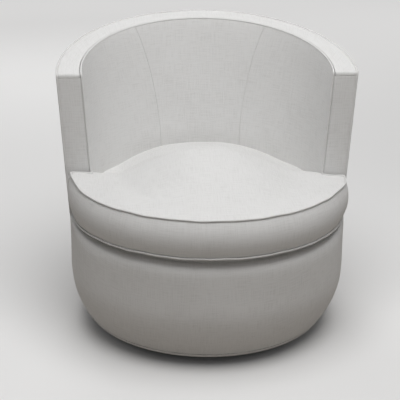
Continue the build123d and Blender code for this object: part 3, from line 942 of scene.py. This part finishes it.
def cushion_outline(radius, level):
    """Closed plan outline of the cushion, counter-clockwise from the front middle."""
    lip = asin((ear_back - cushion_centre) / radius)
    turn = np.linspace(-pi / 2, lip, 160)
    front = np.stack([radius * np.cos(turn), cushion_centre + radius * np.sin(turn)], -1)
    theta = np.linspace(-0.2, pi / 2, 600)
    wall = tub_point(theta, (level - seat_ring_top) / wall_height, cavity_foot, cavity_rim)[:, :2]
    middle = np.array([0.0, wall[-1, 1] - wall[:, 0].max()])
    wall = wall - unit(wall - middle) * cushion_gap
    tub = wall[wall[:, 1] > ear_back]
    tub[0, 1] = ear_back
    half = np.concatenate([front, tub])
    mirrored = half[-2:0:-1] * (-1, 1)
    loop = evenly(np.concatenate([half, mirrored, half[:1]]), outline_step)[:-1]
    loop = rounded(loop, ear_corner, True)
    loop = np.concatenate([loop, loop[:1]])
    length = lengths_along(loop)
    return points_at(loop, length, np.linspace(0, length[-1], 4 * cushion_cells, endpoint=False))


def ear_share(x, y):
    """1 at the tips of the ears, 0 over the rest of the cushion."""
    beside = smooth_step((np.abs(x) - ear_side) / ear_side_blend)
    return beside * smooth_step((y - ear_front) / ear_front_blend)


def edge_level(x, y):
    """Height of the top piping: about level round the front, lower where the tub hides it."""
    lift = np.where(x < 0, left_ear_lift, right_ear_lift) * ear_share(x, y)
    return cushion_top + lift - back_drop * smooth_step((y - ear_back) / back_drop_length)


def crown_level(x, y):
    """Height of the cushion's top."""
    reach = np.where(y < crown_centre, crown_front_reach, crown_back_reach)
    wide = np.abs(x / crown_half_width) ** crown_squareness
    deep = np.abs((y - crown_centre) / reach) ** crown_squareness
    away = (wide + deep) ** (2 / crown_squareness)
    return edge_level(x, y) + crown_rise * np.clip(1 - away, 0, 1) ** crown_power


def underside_level(plan):
    """Height of the cushion's underside: flat on the deck, and rising to the seam in front."""
    in_front = smooth_step((side_start - plan[..., 1]) / underside_blend)
    lift = in_front * np.maximum(1 - edge_distance(plan) / underside_roll, 0) ** 2
    return cushion_foot + (bottom_seam + front_rise - cushion_foot) * lift


def edge_distance(plan):
    """About how far each point of a concentric grid lies from the grid's border."""
    half = plan.shape[0] // 2
    steps = np.abs(np.arange(plan.shape[0]) - half)
    ring = np.maximum(steps[:, None], steps[None, :])
    reach = np.linalg.norm(plan - polar_centre, axis=2)
    return reach * (half / np.maximum(ring, 1) - 1)


def outward(outline):
    tangent = np.roll(outline, -1, 0) - np.roll(outline, 1, 0)
    return unit(np.stack([tangent[:, 1], -tangent[:, 0]], -1))


def level_normal(ring):
    return lifted(outward(ring[:, :2]), 0.0)


def cushion_rings():
    """Top and bottom seam lines of the cushion, as matching closed rows of points."""
    plan_top = cushion_outline(cushion_top_radius, cushion_top)
    plan_bottom = cushion_outline(cushion_bottom_radius, bottom_seam)
    plan_top[:, 0] += right_ear_reach * ear_share(plan_top[:, 0], plan_top[:, 1]) * (plan_top[:, 0] > 0)
    top = lifted(plan_top, crown_level(plan_top[:, 0], plan_top[:, 1]))
    forward = smooth_step((front_start - plan_bottom[:, 1]) / front_blend)
    sideways = smooth_step((side_start - plan_bottom[:, 1]) / side_blend)
    plan_bottom += outward(plan_bottom) * (front_push * forward + side_push * sideways)[:, None]
    bottom = lifted(plan_bottom, bottom_seam + front_rise * forward)
    turn = full_turn(len(top))
    top[:, 2] += seam_wobble * (np.sin(17 * turn + 0.7) + 0.7 * np.sin(29 * turn + 2.0))
    bottom[:, 2] += seam_wobble * (np.sin(13 * turn + 1.9) + 0.7 * np.sin(31 * turn))
    return top, bottom


def in_tub(ring):
    """1 where a seam runs inside the tub, 0 in front of the arms."""
    return smooth_step((ring[:, 1] - ear_back + tub_lead) / tub_blend)


def boxing_row(top_ring, bottom_ring, share):
    """Row of the boxing at a share of the way down, bulged in front and nearly flat inside the tub."""
    bulge = (cushion_bulge + (tub_bulge - cushion_bulge) * in_tub(top_ring)) * 4 * share * (1 - share)
    return top_ring + share * (bottom_ring - top_ring) + level_normal(top_ring) * bulge[:, None]


def inflate(piece, pinned):
    """Swells the cover as cloth between its pinned seams, with each point's move kept under a cap."""
    group = piece.vertex_groups.new(name="seams")
    group.add([int(i) for i in pinned], 1.0, "REPLACE")
    cloth = piece.modifiers.new("cloth", "CLOTH")
    for key, value in cloth_settings.items():
        setattr(cloth.settings, key, value)
    cloth.settings.vertex_group_mass = "seams"
    cloth.settings.effector_weights.gravity = 0.0
    cloth.collision_settings.use_collision = False
    cloth.point_cache.frame_start = 1
    cloth.point_cache.frame_end = cloth_frames
    for number in range(1, cloth_frames + 1):
        bpy.context.scene.frame_set(number)
    shaped = piece.evaluated_get(bpy.context.evaluated_depsgraph_get())
    moved = np.zeros(len(piece.data.vertices) * 3)
    rest = moved.copy()
    shaped.data.vertices.foreach_get("co", moved)
    piece.data.vertices.foreach_get("co", rest)
    shift = (moved - rest).reshape(-1, 3)
    length = np.linalg.norm(shift, axis=1, keepdims=True)
    shift *= np.minimum(1, cloth_cap / np.maximum(length, 1e-9))
    piece.modifiers.remove(cloth)
    bpy.context.scene.frame_set(1)
    piece.data.vertices.foreach_set("co", rest + shift.ravel())
    piece.data.update()


def with_levels(plan, level, row, ring):
    """Points of a plan at their heights, with its border at its seam's heights."""
    level = level.reshape(-1)
    level[row] = ring[:, 2]
    return lifted(plan.reshape(-1, 2), level)


def cushion_uv(points, flat_faces, ring):
    """Weave UVs of the cushion: its top and bottom in plan, then its boxing, parted at the back."""
    count = len(ring)
    length = lengths_along(ring)
    girth = length[-1] + np.linalg.norm(ring[-1] - ring[0])
    reach = np.append(length, girth)
    past_back = girth * (np.arange(count) >= count // 2)
    start, end = reach[:-1] - past_back, reach[1:] - past_back
    strip = np.zeros((boxing_rows, count, 4, 2))
    strip[..., 0] = np.stack([start, end, end, start], -1)
    for row in range(boxing_rows):
        high, low = (-boxing_height * edge / boxing_rows for edge in (row, row + 1))
        strip[row, ..., 1] = (high, high, low, low)
    plan = points[np.array(flat_faces)][..., :2]
    return np.concatenate([plan.reshape(-1, 2), strip.reshape(-1, 2)])


def make_cushion():
    top_ring, bottom_ring = cushion_rings()
    count = len(top_ring)
    plan_top = concentric(top_ring[:, :2], polar_centre, cushion_cells)
    plan_bottom = concentric(bottom_ring[:, :2], polar_centre, cushion_cells)
    index = number_grid(plan_top)
    sheet = index.size
    seam = np.roll(border(index), -cushion_cells // 2)
    top = with_levels(plan_top, crown_level(plan_top[..., 0], plan_top[..., 1]), seam, top_ring)
    bottom = with_levels(plan_bottom, underside_level(plan_bottom), seam, bottom_ring)
    shares = np.linspace(0, 1, boxing_rows + 1)[1:-1]
    rows = [boxing_row(top_ring, bottom_ring, share) for share in shares]
    points = np.concatenate([top, bottom] + rows)
    flat_faces = grid_quads(index) + grid_quads(index[:, ::-1] + sheet)
    middle_rows = [2 * sheet + k * count + np.arange(count) for k in range(len(rows))]
    boxing = np.stack([seam] + middle_rows + [seam + sheet])
    faces = flat_faces + ring_rows(boxing, False)
    uv = cushion_uv(points, flat_faces, top_ring)
    piece = make_piece("seat_cushion", points, faces, loop_uv=uv)
    inflate(piece, np.concatenate([seam, np.arange(sheet) + sheet]))
    subdivide = piece.modifiers.new("smooth", "SUBSURF")
    subdivide.levels = 1
    subdivide.render_levels = 1
    cover = ("cushion_top_panel", "cushion_boxing", "cushion_bottom_panel", "cushion_wrap", "cushion_core")
    dress(piece, linen, "cushion", "linen", *cover)
    make_cushion_piping(top_ring, "top", top_cord_proud, top_cord_rise)
    make_cushion_piping(bottom_ring, "bottom", bottom_cord_proud, bottom_cord_rise)
    make_zip(top_ring, bottom_ring)


def make_cushion_piping(ring, word, proud, rise):
    out = proud + (top_cord_proud - proud) * in_tub(ring)
    path = ring + level_normal(ring) * out[:, None] + (0, 0, rise)
    piece = tube(f"cushion_{word}_cord", path, (0, 0, 1), True)
    dress(piece, piping_linen, "cushion", "linen_piping", f"cushion_{word}_piping")


def make_zip(top_ring, bottom_ring):
    """Zip along the back of the boxing."""
    at_back = top_ring[:, 1] > zip_front
    top, bottom = top_ring[at_back], bottom_ring[at_back]
    level = (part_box("cushion_zip")[0].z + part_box("cushion_zip")[1].z) / 2
    share = (top[:, 2] - level) / (top[:, 2] - bottom[:, 2])
    bulge = tub_bulge * 4 * share * (1 - share)
    line = top + share[:, None] * (bottom - top) + level_normal(top_ring)[at_back] * bulge[:, None]
    line = evenly(line, zip_step)
    along = np.gradient(line, axis=0)
    out = unit(np.stack([along[:, 1], -along[:, 0], np.zeros(len(line))], -1))
    tooth = np.sin(2 * pi * np.arange(len(line)) / steps_per_tooth)
    coil = coil_proud * (1 - tooth_depth + tooth_depth * tooth)
    bare = np.zeros(len(line))
    upper = ((coil_half_width, tape_proud + coil), (tape_edge, tape_proud + bare), (zip_half_width, bare))
    profile = [(-rise, proud) for rise, proud in upper[::-1]] + list(upper)
    front = np.stack([line + (0, 0, rise) + out * proud[:, None] for rise, proud in profile])
    points, faces = two_sided(front, front - out[None] * tape_depth)
    piece = make_piece("zip_strip", points, faces, point_uv=points[:, [0, 2]])
    dress(piece, zip_tape, "cushion", "zip", "cushion_zip")


# Frame finishes


def finish_frame():
    finishes = (
        (black_wood, "plinth"),
        (glide_nylon, "floor_glides"),
        (plate_steel, "lower_swivel_plate", "upper_swivel_plate", "ball_cage"),
        (ball_steel, "bearing_balls", "swivel_rivet"),
        (screw_steel, "lower_plate_screws", "upper_plate_bolts", "upper_plate_nuts"),
        (hardwood, "swivel_rail_front", "swivel_rail_rear"),
        (plywood, "bottom_ring", "base_ribs", "seat_ring", "arm_post_left", "arm_post_right"),
        (plywood, "back_formers", "top_rail"),
        (hardboard, "base_board", "outside_back_board", "inside_back_board"),
    )
    for material, *finished in finishes:
        for node in finished:
            mesh = nodes[node].data
            mesh.materials.clear()
            mesh.materials.append(material)


# Stage


def make_camera():
    pitch, yaw, roll = (radians(a) for a in (camera_pitch, camera_yaw, camera_roll))
    ahead = Vector((-sin(yaw) * cos(pitch), cos(yaw) * cos(pitch), -sin(pitch)))
    level = Vector((cos(yaw), sin(yaw), 0))
    above = level.cross(ahead)
    right = cos(roll) * level + sin(roll) * above
    up = -sin(roll) * level + cos(roll) * above
    data = bpy.data.cameras.new("camera")
    data.sensor_width = sensor_width
    data.lens = focal_pixels / frame_pixels * sensor_width
    camera = add_object("camera", data)
    turn = Matrix((right, up, -ahead)).transposed()
    camera.matrix_world = Matrix.Translation(camera_place) @ turn.to_4x4()
    bpy.context.scene.camera = camera


def seen_directly(tree):
    """1 on rays that show the background: from the camera, a mirror or glass."""
    path = add(tree, "ShaderNodeLightPath")
    seen = math_node("MAXIMUM", path.outputs["Is Camera Ray"], path.outputs["Is Glossy Ray"])
    return math_node("MAXIMUM", seen, path.outputs["Is Transmission Ray"])


def make_floor():
    """Pale floor that takes the chair's shadow, and glows far from it to stay pale there."""
    half = floor_half_width
    corners = [(-half, -half, 0), (half, -half, 0), (half, half, 0), (-half, half, 0)]
    mesh = bpy.data.meshes.new("floor")
    mesh.from_pydata(corners, [], [(0, 1, 2, 3)])
    floor = add_object("floor", mesh)
    material, shader, place = new_material("pale_floor")
    tree = material.node_tree
    seen = seen_directly(tree)
    colour = ramp(seen, (0.0, floor_bounce), (1.0, floor_colour))
    distance = add(tree, "ShaderNodeVectorMath", operation="LENGTH")
    fill(distance, {0: place})
    far = add(tree, "ShaderNodeMapRange", interpolation_type="SMOOTHSTEP")
    fill(far, {"Value": distance.outputs["Value"], "From Min": glow_start})
    fill(far, {"From Max": glow_full, "To Max": floor_glow})
    glow = math_node("MULTIPLY", far.outputs["Result"], seen)
    fill(shader, {"Base Color": colour, "Emission Strength": glow})
    fill(shader, {"Emission Color": (*floor_colour, 1), "Roughness": 0.9})
    mesh.materials.append(material)


def add_lamp(name, place, size, energy):
    lamp = bpy.data.lights.new(name, "AREA")
    lamp.shape = "DISK"
    lamp.size = size
    lamp.energy = energy
    light = add_object(name, lamp)
    light.location = place
    light.rotation_euler = (Vector(place) - Vector(lamp_target)).to_track_quat("Z", "Y").to_euler()


def make_light():
    """Soft studio light: a dome that is brightest half-way up, a large lamp overhead and a fill behind."""
    world = bpy.data.worlds.new("studio")
    bpy.context.scene.world = world
    world.use_nodes = True
    tree = world.node_tree
    direction = add(tree, "ShaderNodeTexCoord").outputs["Generated"]
    greys = [(height, (level, level, level)) for height, level in dome_stops]
    dome = ramp(components(direction)["Z"], *greys)
    background = tree.nodes["Background"]
    fill(background, {"Color": dome, "Strength": dome_strength})
    backdrop = add(tree, "ShaderNodeBackground")
    fill(backdrop, {"Color": (*backdrop_colour, 1)})
    mix = add(tree, "ShaderNodeMixShader")
    lit, shown = background.outputs["Background"], backdrop.outputs["Background"]
    fill(mix, {"Fac": seen_directly(tree), 1: lit, 2: shown})
    fill(tree.nodes["World Output"], {"Surface": mix.outputs["Shader"]})
    add_lamp("overhead", lamp_place, lamp_size, lamp_energy)
    add_lamp("rear_fill", fill_place, fill_size, fill_energy)


bpy.context.scene.view_settings.view_transform = "Standard"
make_camera()
make_floor()
make_light()
finish_frame()
make_inside_back()
make_top_band()
make_outside_back()
make_arm_front(-1, "left")
make_arm_front(1, "right")
make_rim_piping()
make_base_front()
make_hem()
make_deck()
make_dust_cover()
make_straps("seat_webbing_lengthwise")
make_straps("seat_webbing_crosswise")
make_cushion()
